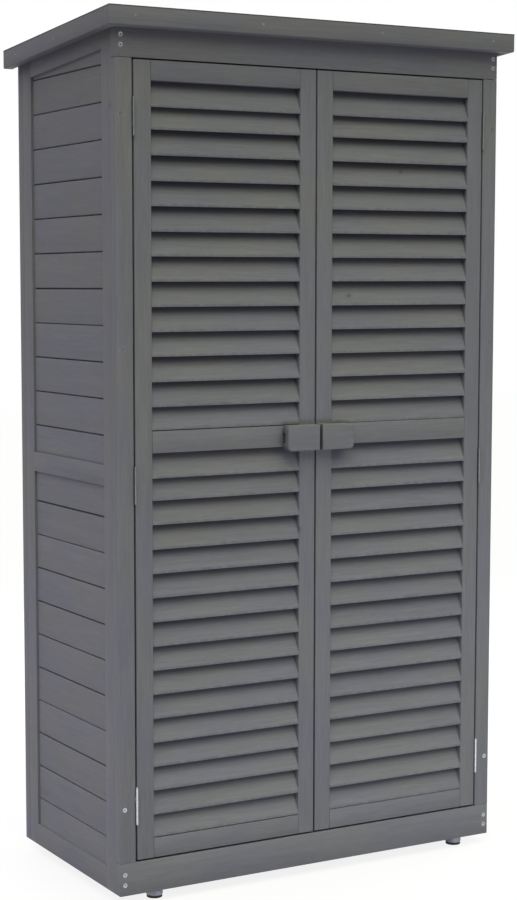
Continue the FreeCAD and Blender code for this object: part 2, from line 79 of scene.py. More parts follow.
cad_nodes = frame["nodes"]
cad_low, cad_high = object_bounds()
slot_of = {part["node"]: part["material_slot"] for part in frame["record"]["subparts"]}
mm = 0.001
sides = ("left", "right")

# Softness of the edges
edge_radius = 0.5 * mm
worn_edge_radius = 1.8 * mm
fascia_edge_radius = 2 * mm
bevel_steps = 2
worn_bevel_steps = 4
round_corner_steps = 3
smooth_angle = math.radians(32)
sharp_angle = math.radians(60)
merge_distance = 0.005 * mm

# Heads of screws and nails stand this far before the wood
head_rise = 0.25 * mm
# Fine joint above and below the front posts, and before the back stiles
joint_gap = 0.8 * mm

# Louvre slats, as in the frame's solids
slat_heel_depth = 6 * mm
slat_top_thickness = 2.4 * mm
slat_nose_height = 5 * mm
slat_edge_radius = 0.6 * mm
slat_wander = 0.5 * mm
# Faces narrower than this, the slat noses among them, take the paler edge paint: partly wear, partly a
# painted highlight
rubbed_and_highlight_strip = 5.5 * mm

# Planks
plank_thickness = 9 * mm
plank_cover = 65.6 * mm
plank_housing = 6 * mm
plank_v = 2 * mm
plank_slot = 1.5 * mm
plank_slot_depth = 6 * mm
plank_tongue = 2 * mm
plank_tongue_inset = 0.6 * mm
plank_wander = 0.5 * mm
# Planks beyond those that fit between the rails, because both ends of a row are cut
spare_planks = 2
# Height of the cut plank at the top of a bay
upper_starter = 5.6 * mm
lower_starter = 58.1 * mm

# Starting numbers of the small irregularities in the rows
slat_seeds = {"left": 4, "right": 24}
plank_seed = 11
roof_seed = 5

# Grey paint on fir, as the share of light that it reflects
cool_grey = (0.141, 0.146, 0.157)
warm_grey = (0.145, 0.149, 0.147)
# Paler grey of softened edges and slat noses: partly worn paint and partly a painted highlight
rubbed_and_highlight_grey = (0.205, 0.208, 0.216)
knot_grey = (0.075, 0.074, 0.080)

# Figure of the wood under the paint, with its patterns in repeats per metre
grain_stretch = 0.055
knot_stretch = 0.62
board_shifts = (7.3, 4.1, 9.7)
cloud_scale = 5.0
figure_scale = 70.0
streak_scale = 260.0
fibre_scale = 900.0
knot_scale = 9.0
wave_scale = 60.0
wave_reach = 4 * mm
knot_radius = 2.2 * mm
knot_reach = 4.2 * mm
ring_radius = 5.5 * mm
ring_width = 3.0 * mm
rub_and_highlight_scale = 90.0

# Levels of a pattern between which a tone sets in
warm_levels = (0.38, 0.62)
covered_levels = (0.45, 1.05)
rub_and_highlight_levels = (0.35, 0.75)
knot_cover = 0.7
rub_and_highlight_cover = 0.5

# How strongly each pattern changes the paint's lightness
paint_level = 0.975
board_swing = 0.05
cloud_swing = 0.10
figure_swing = 0.20
streak_swing = 0.30
fibre_swing = 0.22
ring_shade = 0.06
# Painted shade: how much darker a slat is painted where the slat above overhangs it
painted_shade_under_slats = 0.55
# Painted light: upright boards are painted lighter towards the floor, for light bounced up from the pale
# floor, up to this height
painted_floor_bounce = 0.15
painted_floor_bounce_height = 1.1

# Sheen and relief of the paint
paint_roughness = 0.62
streak_roughness = 0.20
knot_roughness = 0.08
figure_relief = 0.25
streak_relief = 0.4
fibre_relief = 0.35
knot_relief = 0.2
paint_relief = 0.30 * mm

# Crushed paint around the screws of the front frame
halo_radius = 3.6 * mm
halo_reach = 7.5 * mm
halo_scale = 420.0
halo_middle = 0.42
halo_swing = 1.6

# Heights between which the zinc goes from a painted reflection of the pale floor to a darker tone, partly
# painted shade and partly grime and overspray, and where the roof's own tone sets in
zinc_floor_reflection_height = 0.2
zinc_shade_and_overspray_height = 0.75
near_roof_height = 1.46
roof_tone_height = 1.50
spangle_scale = 900.0
spangle_share = 0.03
marks_scale = 260.0
marks_level = 0.7
marks_swing = 0.6
marks_relief = 0.08 * mm
zinc_roughness = 0.30
marks_roughness = 0.2

# Photograph's camera, found from the edges of the cabinet
photo_width = 517
photo_height = 900
photo_focal_length = 1868.65
photo_centre_x = 190.0
photo_centre_y = 465.0
camera_heading = math.radians(28.477)
camera_pitch = math.radians(5.557)
camera_roll = math.radians(-0.133)
camera_place = Vector((-1.8657, -3.1565, 1.1238))
sensor_width = 36.0
farthest_seen = 100.0

# Studio
white = (1.0, 1.0, 1.0)
floor_half_width = 12.0
floor_grey = (0.22, 0.22, 0.23)
floor_seen_grey = (0.85, 0.85, 0.85)
floor_glow = 0.85
world_strength = 0.13
world_tint = (1.0, 0.74, 0.78)
panel_width = 1.2
panel_height = 0.4


# Node trees written as Python expressions

class Wire:
    """An output of a node. Arithmetic on wires adds Math nodes."""

    def __init__(self, graph, socket):
        self.graph = graph
        self.socket = socket

    def other(self, name):
        """Another output of the same node."""
        return Wire(self.graph, named(self.socket.node.outputs, name))

    def __add__(self, value):
        return self.graph.math("ADD", self, value)

    def __sub__(self, value):
        return self.graph.math("SUBTRACT", self, value)

    def __rsub__(self, value):
        return self.graph.math("SUBTRACT", value, self)

    def __mul__(self, value):
        return self.graph.math("MULTIPLY", self, value)

    def __truediv__(self, value):
        return self.graph.math("DIVIDE", self, value)

    def __neg__(self):
        return self * -1

    __radd__ = __add__


def named(sockets, key):
    """The socket in use that has this name, or this number among all of them."""
    if isinstance(key, int):
        return sockets[key]
    return next(socket for socket in sockets if socket.name == key and socket.enabled)


class Graph:
    """A node tree under construction."""

    def __init__(self, tree):
        self.tree = tree
        self.nodes = tree.nodes

    def add(self, kind, settings=None, inputs=None, out=None):
        """A new node with its settings, its inputs as values or wires, and the wire of one output."""
        node = self.nodes.new(kind)
        for key, value in (settings or {}).items():
            setattr(node, key, value)
        for key, value in (inputs or {}).items():
            self.feed(named(node.inputs, key), value)
        if out is None:
            return Wire(self, next(socket for socket in node.outputs if socket.enabled))
        return Wire(self, named(node.outputs, out))

    def feed(self, socket, value):
        for item in value if isinstance(value, list) else [value]:
            if isinstance(item, Wire):
                self.tree.links.new(item.socket, socket)
            else:
                socket.default_value = item

    def math(self, operation, *values):
        return self.add("ShaderNodeMath", {"operation": operation}, dict(enumerate(values)))

    def vector_math(self, operation, *values, out=None):
        return self.add("ShaderNodeVectorMath", {"operation": operation}, dict(enumerate(values)), out)

    def scaled(self, vector, factor):
        return self.add("ShaderNodeVectorMath", {"operation": "SCALE"}, {"Vector": vector, "Scale": factor})

    def vector(self, x=0.0, y=0.0, z=0.0):
        return self.add("ShaderNodeCombineXYZ", {}, {"X": x, "Y": y, "Z": z})

    def part(self, vector, axis):
        """One coordinate of a vector."""
        return self.add("ShaderNodeSeparateXYZ", {}, {"Vector": vector}, axis)

    def between(self, value, low, high):
        """How far a value is from low to high, from 0 to 1 with soft ends."""
        sizes = {"Value": value, "From Min": low, "From Max": high}
        return self.add("ShaderNodeMapRange", {"interpolation_type": "SMOOTHSTEP"}, sizes)

    def blend(self, share, first, second):
        """Mix of two colours."""
        return self.add("ShaderNodeMix", {"data_type": "RGBA"}, {"Factor": share, "A": first, "B": second})

    def background_rays(self):
        """1 for rays that show what stands behind: from the camera, from a mirror or through glass."""
        seen = self.add("ShaderNodeLightPath", out="Is Camera Ray")
        mirrored = self.math("MAXIMUM", seen, seen.other("Is Glossy Ray"))
        return self.math("MAXIMUM", mirrored, seen.other("Is Transmission Ray"))


def opaque(colour):
    return (*colour, 1.0)


# Materials

class Finish(Graph):
    """A material with one Principled shader."""

    def __init__(self, name, roughness=0.5, metallic=0.0, specular=0.5):
        self.material = bpy.data.materials.new(name)
        self.material.use_nodes = True
        super().__init__(self.material.node_tree)
        self.shader = self.nodes["Principled BSDF"]
        self.shader.inputs["Roughness"].default_value = roughness
        self.shader.inputs["Metallic"].default_value = metallic
        self.shader.inputs["Specular IOR Level"].default_value = specular
        self.place = self.add("ShaderNodeTexCoord", out="Object")

    def noise(self, place, scale, detail=2.0, roughness=0.5, distortion=0.0):
        sizes = {"Vector": place, "Scale": scale, "Detail": detail, "Roughness": roughness,
                 "Distortion": distortion}
        return self.add("ShaderNodeTexNoise", {}, sizes)

    def cells(self, place, scale, out):
        """Distance or colour of a pattern of irregular cells."""
        return self.add("ShaderNodeTexVoronoi", {}, {"Vector": place, "Scale": scale}, out)

    def mark(self, name):
        """A number that the piece's mesh carries."""
        return self.add("ShaderNodeAttribute", {"attribute_name": name}, out="Fac")

    def paint(self, colour, roughness=None):
        self.feed(self.shader.inputs["Base Color"], colour)
        if roughness is not None:
            self.feed(self.shader.inputs["Roughness"], roughness)

    def relief(self, height, depth, strength):
        """Bump from a height between 0 and 1 that stands for a real depth."""
        sizes = {"Strength": strength, "Distance": depth, "Height": height}
        self.feed(self.shader.inputs["Normal"], self.add("ShaderNodeBump", {}, sizes))


def along_grain(finish, place, axis, stretch):
    """Coordinates that pass slowly along the grain, so that a pattern on them is drawn out."""
    scale = [1.0, 1.0, 1.0]
    scale["XYZ".index(axis)] = stretch
    return finish.vector_math("MULTIPLY", place, tuple(scale))


def swing(noise, amount):
    """A noise that swings about nought in place of about one half."""
    return (noise - 0.5) * amount


def screw_halo(finish, screws):
    """Nearness to the front frame's screws, 1 at a screw and 0 a few millimetres away."""
    across = (1.0, 0.0, 1.0)
    nearest = None
    for screw in screws:
        flat = finish.vector_math("MULTIPLY", finish.place, across)
        apart = finish.vector_math("DISTANCE", flat, (screw.x, 0.0, screw.z), out="Value")
        nearest = apart if nearest is None else finish.math("MINIMUM", nearest, apart)
    return 1 - finish.between(nearest, halo_radius, halo_reach)


def painted_fir(name, axis, screws=()):
    """Thin grey paint over fir whose grain runs along one axis. Each board has its own figure. Upright boards
    are painted slightly lighter towards the floor, as painted light bounced up from the pale floor; slats are
    painted darker where the slat above covers them, as painted shade; softened edges are painted paler,
    partly wear and partly a painted highlight."""
    finish = Finish(name, specular=0.06)
    board = finish.mark("board")
    edge = finish.mark("edge")
    covered = finish.mark("covered")
    shift = finish.vector(*(board * amount for amount in board_shifts))
    place = finish.vector_math("ADD", finish.place, shift)
    drawn = along_grain(finish, place, axis, grain_stretch)
    cloud = finish.noise(place, cloud_scale)
    figure = finish.noise(drawn, figure_scale, detail=3.0, roughness=0.6, distortion=0.4)
    streak = finish.noise(drawn, streak_scale, roughness=0.6)
    fibre = finish.noise(drawn, fibre_scale, roughness=0.6)

    knot_place = along_grain(finish, place, axis, knot_stretch)
    waves = finish.scaled(finish.noise(place, wave_scale).other("Color"), wave_reach)
    bent = finish.vector_math("ADD", knot_place, waves)
    knot_distance = finish.cells(bent, knot_scale, "Distance") / knot_scale
    knot = 1 - finish.between(knot_distance, knot_radius, knot_reach)
    from_ring = finish.math("ABSOLUTE", knot_distance - ring_radius)
    ring = 1 - finish.between(from_ring, 0.0, ring_width)

    streaks = swing(figure, figure_swing) + swing(streak, streak_swing) + swing(fibre, fibre_swing)
    light = paint_level + board * board_swing + swing(cloud, cloud_swing) + streaks - ring * ring_shade
    # Painted shade: slats are painted darker towards their tops, under the nose of the slat above
    light = light * (1 - finish.between(covered, *covered_levels) * painted_shade_under_slats)
    # Painted light: upright boards are lighter towards the floor, standing for light bounced up from the pale
    # floor
    if axis == "Z":
        height = finish.part(finish.place, "Z")
        raised = finish.between(height, 0.0, painted_floor_bounce_height)
        light = light * (1 + painted_floor_bounce - raised * painted_floor_bounce)
    if screws:
        crushed = screw_halo(finish, screws) * (finish.noise(finish.place, halo_scale) - halo_middle)
        light = light + crushed * halo_swing

    warmth = finish.between(cloud, *warm_levels)
    colour = finish.blend(warmth, opaque(cool_grey), opaque(warm_grey))
    colour = finish.blend(knot * knot_cover, colour, opaque(knot_grey))
    # Softened edges and slat noses painted paler: partly worn paint, partly a painted highlight
    rub_and_highlight = finish.between(finish.noise(place, rub_and_highlight_scale, detail=3.0), *rub_and_highlight_levels) * edge
    colour = finish.blend(rub_and_highlight * rub_and_highlight_cover, colour, opaque(rubbed_and_highlight_grey))
    roughness = paint_roughness + swing(streak, streak_roughness) + knot * knot_roughness
    finish.paint(finish.scaled(colour, light), roughness)
    relief = fibre * fibre_relief + streak * streak_relief + figure * figure_relief + knot * knot_relief
    finish.relief(relief, paint_relief, strength=0.5)
    return finish.material


def zinc_plate(name, shade_and_overspray, floor_reflection, near_roof=None):
    """Zinc on steel with a faint spangle and handling marks. Near the floor it is lighter, a painted
    reflection of the pale floor; higher up it is darker, partly painted shade from dark surroundings and
    partly grime and paint overspray; close under the roof it has a tone of its own, where one is given."""
    finish = Finish(name, metallic=1.0)
    height = finish.part(finish.place, "Z")
    spangle = finish.cells(finish.place, spangle_scale, "Color")
    marks = finish.noise(finish.place, marks_scale, detail=3.0)
    # Painted reflection: lighter near the floor, darker higher up, partly as painted shade
    raised = finish.between(height, zinc_floor_reflection_height, zinc_shade_and_overspray_height)
    tone = finish.blend(raised, opaque(floor_reflection), opaque(shade_and_overspray))
    if near_roof:
        under_felt = finish.between(height, near_roof_height, roof_tone_height)
        tone = finish.blend(under_felt, tone, opaque(near_roof))
    tone = finish.scaled(finish.blend(spangle_share, tone, spangle), marks_level + marks * marks_swing)
    finish.paint(tone, zinc_roughness + marks * marks_roughness)
    finish.relief(marks, marks_relief, strength=0.4)
    return finish.material


def mineral_felt():
    """Dark roofing felt with a crushed slate face."""
    finish = Finish("mineral_felt", specular=0.3)
    dark = (0.022, 0.022, 0.026)
    pale = (0.075, 0.075, 0.082)
    grit = finish.cells(finish.place, scale=620.0, out="Distance")
    speckle = finish.noise(finish.place, scale=900.0)
    drift = finish.noise(finish.place, scale=5.0, detail=3.0)
    share = finish.between(speckle * 0.7 + drift * 0.3, low=0.3, high=0.7)
    finish.paint(finish.blend(share, opaque(dark), opaque(pale)), roughness=0.85 + grit * 0.1)
    finish.relief(grit, depth=0.5 * mm, strength=0.8)
    return finish.material


def moulded(name, colour, roughness, grain_scale):
    """Moulded plastic or rubber with a fine texture and faint flow marks."""
    finish = Finish(name)
    flow = finish.noise(finish.place, scale=45.0, detail=3.0)
    grain = finish.noise(finish.place, grain_scale)
    flow_shade = 0.78
    darker = tuple(flow_shade * part for part in colour)
    finish.paint(finish.blend(flow, opaque(darker), opaque(colour)), roughness + swing(grain, 0.2))
    finish.relief(grain, depth=0.05 * mm, strength=0.5)
    return finish.material


# Reading the frame

def merged(node):
    """The CAD node's triangles as one joined mesh."""
    mesh = bmesh.new()
    mesh.from_mesh(cad_nodes[node].data)
    bmesh.ops.remove_doubles(mesh, verts=mesh.verts, dist=merge_distance)
    return mesh


def islands(mesh):
    """Groups of vertices that hang together, in the order of the mesh, which is the same each run."""
    found = []
    reached = set()
    for start in mesh.verts:
        if start in reached:
            continue
        group = {start}
        unvisited = [start]
        while unvisited:
            vertex = unvisited.pop()
            for edge in vertex.link_edges:
                near = edge.other_vert(vertex)
                if near not in group:
                    group.add(near)
                    unvisited.append(near)
        reached |= group
        found.append(group)
    return found


def solids(node, order="z"):
    """Lowest and highest corner of each solid of a CAD node, sorted along an axis."""
    mesh = merged(node)
    boxes = []
    for group in islands(mesh):
        low = Vector(min(vertex.co[i] for vertex in group) for i in range(3))
        high = Vector(max(vertex.co[i] for vertex in group) for i in range(3))
        boxes.append((low, high))
    mesh.free()
    return sorted(boxes, key=lambda box: box[0]["xyz".index(order)])


header_low, header_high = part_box("header_board")
back_low, back_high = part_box("back_stiles")
roof_slope = (header_high.z - back_high.z) / (back_low.y - header_low.y)


def under_roof(y):
    """Height of the underside of the roof boards."""
    return header_high.z - roof_slope * (y - header_low.y)


# Pieces

def add_object(name, data):
    """A new object in the scene."""
    added = bpy.data.objects.new(name, data)
    bpy.context.scene.collection.objects.link(added)
    return added


def place_piece(mesh, name, finish, node):
    """Put a mesh in the scene in the place of its CAD node and body."""
    piece = add_object(name, mesh)
    mesh.materials.clear()
    mesh.materials.append(finish)
    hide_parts(node)
    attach(piece, cad_nodes[node]["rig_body"])
    return piece


def finished(mesh, name):
    """The mesh as an object's data, with smooth round faces."""
    data = bpy.data.meshes.new(name)
    mesh.to_mesh(data)
    mesh.free()
    data.shade_smooth()
    data.set_sharp_from_angle(angle=smooth_angle)
    return data


def board_mesh():
    """Empty mesh that numbers its boards and marks their softened edges."""
    mesh = bmesh.new()
    mesh.verts.layers.float.new("board")
    mesh.faces.layers.float.new("edge")
    return mesh


def box_corner(vertex, low, high):
    """Corner of a box that stands where a vertex does on a cube about the origin."""
    return Vector(low[i] if vertex.co[i] < 0 else high[i] for i in range(3))


def soften(mesh, edges, radius=edge_radius, steps=bevel_steps):
    """Round some edges and return the new faces."""
    if not edges:
        return []
    return bmesh.ops.bevel(mesh, geom=edges, offset=radius, segments=steps, profile=0.5,
                           affect="EDGES")["faces"]


def mark_edges(mesh, faces):
    """Mark the faces of softened edges, where the paint is worn paler and also carries a painted highlight.
    """
    edge_layer = mesh.faces.layers.float["edge"]
    for face in faces:
        if face.is_valid:
            face[edge_layer] = 1.0


def add_board(mesh, low, high, number, worn, sloped):
    """A board with softened edges. `worn` names its front upright edges that are rounder."""
    corners = bmesh.ops.create_cube(mesh, size=1.0)["verts"]
    before = set(mesh.verts) - set(corners)
    for vertex in corners:
        vertex.co = box_corner(vertex, low, high)
        if sloped:
            vertex.co.z = min(vertex.co.z, under_roof(vertex.co.y))
    edges = {edge for vertex in corners for edge in vertex.link_edges}
    rounder = [edge for edge in edges if is_front_upright(edge, low, high, worn)]
    worn_faces = soften(mesh, rounder, worn_edge_radius, worn_bevel_steps)
    rest = {edge for vertex in set(mesh.verts) - before for edge in vertex.link_edges}
    soft_faces = soften(mesh, [edge for edge in rest if edge.calc_face_angle(0.0) > sharp_angle])
    mark_edges(mesh, [*worn_faces, *soft_faces])
    board_layer = mesh.verts.layers.float["board"]
    for vertex in set(mesh.verts) - before:
        vertex[board_layer] = number


def is_front_upright(edge, low, high, worn):
    """Whether an edge is one of the front upright edges that `worn` names."""
    first, second = (vertex.co for vertex in edge.verts)
    upright = abs(first.x - second.x) + abs(first.y - second.y) < merge_distance
    at_front = abs(first.y - low.y) < merge_distance
    at_left = abs(first.x - low.x) < merge_distance and "left" in worn
    at_right = abs(first.x - high.x) < merge_distance and "right" in worn
    return upright and at_front and (at_left or at_right)


def boards(node, boxes, finish, worn="", sloped=False):
    """One piece made of softened boards, each with its own figure."""
    chance = random.Random(node)
    mesh = board_mesh()
    for low, high in boxes:
        add_board(mesh, low, high, chance.random(), worn, sloped)
    bmesh.ops.recalc_face_normals(mesh, faces=mesh.faces)
    return place_piece(finished(mesh, node), node + "_boards", finish, node)


def smoothed(node, finish):
    """The CAD node's own shape with smooth round faces."""
    mesh = merged(node)
    layer = mesh.verts.layers.float.new("board")
    chance = random.Random(node)
    for group in islands(mesh):
        number = chance.random()
        for vertex in group:
            vertex[layer] = number
    ending = "_metal" if slot_of[node] == "zinc_steel" else "_shape"
    return place_piece(finished(mesh, node), node + ending, finish, node)


# Rows of equal boards: the outline of a board's end is swept along its length and repeated

class Modelling(Graph):
    """A geometry tree with named sizes."""

    def __init__(self, name):
        super().__init__(bpy.data.node_groups.new(name, "GeometryNodeTree"))
        self.entry = self.nodes.new("NodeGroupInput")
        self.identifiers = {}
        self.geometry = self.size("Geometry", "NodeSocketGeometry")
        self.tree.interface.new_socket("Geometry", in_out="OUTPUT", socket_type="NodeSocketGeometry")

    def size(self, name, kind="NodeSocketFloat"):
        """A named input of the tree."""
        item = self.tree.interface.new_socket(name, in_out="INPUT", socket_type=kind)
        self.identifiers[name] = item.identifier
        return Wire(self, next(s for s in self.entry.outputs if s.identifier == item.identifier))

    def finish(self, geometry, material):
        """Geometry with its material, as the tree's result."""
        dressed = self.add("GeometryNodeSetMaterial", {}, {"Geometry": geometry, "Material": material})
        self.feed(self.nodes.new("NodeGroupOutput").inputs["Geometry"], dressed)

    def moved(self, geometry, offset):
        """Geometry whose points are each moved by an offset."""
        return self.add("GeometryNodeSetPosition", {}, {"Geometry": geometry, "Offset": offset})

    def stored(self, geometry, domain, name, value):
        """Geometry that carries a number on each of its points, faces or instances."""
        return self.add("GeometryNodeStoreNamedAttribute", {"data_type": "FLOAT", "domain": domain},
                        {"Geometry": geometry, "Name": name, "Value": value})

    def chance(self, low, high, seed):
        """A random number for each element."""
        return self.add("FunctionNodeRandomValue", {}, {"Min": low, "Max": high, "Seed": seed}, "Value")


def board_row_tree():
    """Outline in the XY plane, swept along Z, stood up, turned and repeated in a row."""
    row = Modelling("board_row")
    length = row.size("Length")
    radius = row.size("Edge radius")
    facing = row.size("Facing")
    start = row.size("Start", "NodeSocketVector")
    step = row.size("Step", "NodeSocketVector")
    count = row.size("Count", "NodeSocketInt")
    floor = row.size("Floor")
    ceiling = row.size("Ceiling")
    ceiling_slope = row.size("Ceiling slope")
    lean = row.size("Lean")
    wander = row.size("Wander")
    rub_and_highlight_width = row.size("Rubbed width")
    covered = row.size("Covered height")
    seed = row.size("Seed", "NodeSocketInt")
    material = row.size("Material", "NodeSocketMaterial")

    # One board, with its closed and rounded outline
    outline = row.add("GeometryNodeMeshToCurve", {}, {"Mesh": row.geometry})
    rounded = row.add("GeometryNodeFilletCurve", {"mode": "POLY"},
                      {"Curve": outline, "Count": round_corner_steps, "Radius": radius, "Limit Radius": True})
    end = row.add("GeometryNodeFillCurve", {"mode": "NGONS"}, {"Curve": rounded})
    swept = row.add("GeometryNodeExtrudeMesh", {"mode": "FACES"},
                    {"Mesh": end, "Offset": row.vector(z=length), "Offset Scale": 1.0, "Individual": False})
    back = row.add("GeometryNodeFlipFaces", {}, {"Mesh": end})
    both = row.add("GeometryNodeJoinGeometry", {}, {"Geometry": [swept, back]})
    closed = row.add("GeometryNodeMergeByDistance", {}, {"Geometry": both, "Distance": merge_distance})

    # Marks for the paint: how far up the next board covers it, where painted shade goes, and its narrow faces
    # as worn edges that also carry a painted highlight
    raised = row.part(row.add("GeometryNodeInputPosition"), "Y")
    shaded = row.stored(closed, "POINT", "covered", raised / covered)
    narrow = row.math("LESS_THAN", row.add("GeometryNodeInputMeshFaceArea"), length * rub_and_highlight_width)
    marked = row.stored(shaded, "FACE", "edge", narrow)

    # The row, in which each board strays a little
    stand = row.vector(math.pi / 2, 0.0, facing)
    turned = row.add("GeometryNodeTransform", {}, {"Geometry": marked, "Rotation": stand})
    places = row.add("GeometryNodeMeshLine", {"mode": "OFFSET"},
                     {"Count": count, "Start Location": start, "Offset": step})
    strayed = row.moved(places, row.vector(z=row.chance(-1.0, 1.0, seed) * wander))
    copies = row.add("GeometryNodeInstanceOnPoints", {}, {"Points": strayed, "Instance": turned})
    numbered = row.stored(copies, "INSTANCE", "board", row.chance(0.0, 1.0, seed))
    real = row.add("GeometryNodeRealizeInstances", {}, {"Geometry": numbered})

    # Cut to the bay's floor and ceiling
    y = row.part(row.add("GeometryNodeInputPosition"), "Y")
    z = y.other("Z")
    excess = row.math("MAXIMUM", z - (ceiling + ceiling_slope * y), 0.0)
    lack = row.math("MAXIMUM", floor - z, 0.0)
    trimmed = row.moved(real, row.vector(0.0, -(lean * excess), lack - excess))
    row.finish(trimmed, material)
    return row


def modelled(mesh, model, sizes):
    """Plain mesh that a geometry tree makes from a starting mesh and its sizes."""
    holder = add_object("row", mesh)
    modifier = holder.modifiers.new("row", "NODES")
    modifier.node_group = model.tree
    for key, value in sizes.items():
        modifier[model.identifiers[key]] = value
    evaluated = holder.evaluated_get(bpy.context.evaluated_depsgraph_get())
    made = bpy.data.meshes.new_from_object(evaluated)
    holder.modifiers.remove(modifier)
    bpy.data.objects.remove(holder)
    return made


def outline_mesh(points):
    """Closed outline in the XY plane."""
    mesh = bpy.data.meshes.new("outline")
    count = len(points)
    mesh.from_pydata([(x, y, 0.0) for x, y in points], [(i, (i + 1) % count) for i in range(count)], [])
    return mesh


def joined(meshes, name):
    """Several meshes as one, with smooth round faces."""
    total = bmesh.new()
    for mesh in meshes:
        total.from_mesh(mesh)
    return finished(total, name)


# A height that no board reaches, for rows without a floor or ceiling
far = 10.0
faces_left = 0.0
faces_right = math.pi
faces_front = math.pi / 2
faces_back = -math.pi / 2
board_rows = board_row_tree()


def board_row(outline, finish, seed, **sizes):
    """Mesh of one row of boards."""
    defaults = {"Edge radius": edge_radius, "Rubbed width": 0.0, "Covered height": far, "Floor": -far,
                "Ceiling": far, "Ceiling slope": 0.0, "Lean": 0.0, "Wander": 0.0, "Seed": seed,
                "Material": finish}
    given = {key.replace("_", " ").capitalize(): value for key, value in sizes.items()}
    return modelled(outline_mesh(outline), board_rows, {**defaults, **given})


fir_x = painted_fir("painted_fir_across", "X")
fir_y = painted_fir("painted_fir_deep", "Y")
fir_z = painted_fir("painted_fir_upright", "Z")
zinc = zinc_plate("zinc_plate", shade_and_overspray=(0.13, 0.13, 0.13), floor_reflection=(0.44, 0.45, 0.46))
screw_zinc = zinc_plate("screw_zinc", shade_and_overspray=(0.11, 0.11, 0.115), floor_reflection=(0.38, 0.385, 0.395),
                        near_roof=(0.26, 0.26, 0.27))
nail_zinc = zinc_plate("nail_zinc", shade_and_overspray=(0.20, 0.20, 0.20), floor_reflection=(0.20, 0.20, 0.20))
felt = mineral_felt()
foot_plastic = moulded("foot_plastic", (0.36, 0.37, 0.39), roughness=0.45, grain_scale=900.0)
foot_rubber = moulded("foot_rubber", (0.012, 0.012, 0.013), roughness=0.75, grain_scale=1200.0)
catch_plastic = moulded("catch_plastic", (0.62, 0.62, 0.60), roughness=0.4, grain_scale=900.0)


def shrunk(box, front=0.0, bottom=0.0, top=0.0):
    """A box with some of its sides moved inwards."""
    low, high = box
    return low + Vector((0, front, bottom)), high - Vector((0, 0, top))


# Front frame

def make_front_frame():
    screws = [low.lerp(high, 0.5) for low, high in solids("frame_screws")]
    header = shrunk(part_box("header_board"), front=head_rise)
    near_top = [place for place in screws if place.z > header[0].z]
    header_paint = painted_fir("header_paint", "X", near_top)
    boards("header_board", [header], header_paint, worn="left right", sloped=True)
    plinth = shrunk(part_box("plinth_board"), front=head_rise)
    near_floor = [place for place in screws if place.z < plinth[1].z]
    boards("plinth_board", [plinth], painted_fir("plinth_paint", "X", near_floor), worn="left right")
    for side in sides:
        node = f"front_{side}_post"
        post = shrunk(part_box(node), front=head_rise, bottom=joint_gap / 2, top=joint_gap)
        on_post = [place for place in screws
                   if (place.x < 0) == (side == "left") and post[0].z < place.z < post[1].z]
        boards(node, [post], painted_fir(f"{side}_post_paint", "Z", on_post), worn="left right")


# Side and back panels

def make_side_panel(side):
    front_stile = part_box(f"{side}_front_stile")
    back_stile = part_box(f"{side}_back_stile")
    boards(f"{side}_front_stile", [front_stile], fir_z, sloped=True)
    boards(f"{side}_back_stile", [back_stile], fir_z, sloped=True)
    node = f"{side}_side_rails"
    rails = solids(node)
    for low, high in rails:
        low.y = front_stile[1].y
        high.y = back_stile[0].y
    boards(node, rails[:2], fir_y)
    side_top_rail(node, *rails[2])
    make_planks(f"{side}_side_planks", rails, faces_left if side == "left" else faces_right)


def side_top_rail(node, low, high):
    """Rail whose upper and lower edges both run along the roof's fall."""
    height = under_roof(high.y) - low.z
    outline = []
    for y, drop in ((low.y, height), (high.y, height), (high.y, 0.0), (low.y, 0.0)):
        outline.append((y, under_roof(y) - drop))
    mesh = board_mesh()
    rings = [[mesh.verts.new((x, y, z)) for y, z in outline] for x in (low.x, high.x)]
    mesh.faces.new(rings[0])
    mesh.faces.new(rings[1][::-1])
    for i in range(len(outline)):
        mesh.faces.new([rings[0][i], rings[0][i - 1], rings[1][i - 1], rings[1][i]])
    soften(mesh, list(mesh.edges))
    bmesh.ops.recalc_face_normals(mesh, faces=mesh.faces)
    name = node + "_top"
    place_piece(finished(mesh, name), name, fir_y, node)


def plank_outline():
    """End of a plank: outer face at 0, a V along both edges, a dark slot behind it, and a tongue on top."""
    low = plank_slot / 2
    high = plank_cover - plank_slot / 2
    tongue_outside = plank_slot_depth + plank_tongue_inset
    tongue_inside = plank_thickness - plank_tongue_inset
    tip = plank_cover + plank_tongue
    return [(0, plank_v), (plank_v, low), (plank_slot_depth, low), (plank_slot_depth, 0),
            (plank_thickness, 0), (plank_thickness, plank_cover), (tongue_inside, plank_cover),
            (tongue_inside, tip), (tongue_outside, tip), (tongue_outside, plank_cover),
            (plank_slot_depth, plank_cover), (plank_slot_depth, high), (plank_v, high),
            (0, plank_cover - plank_v)]


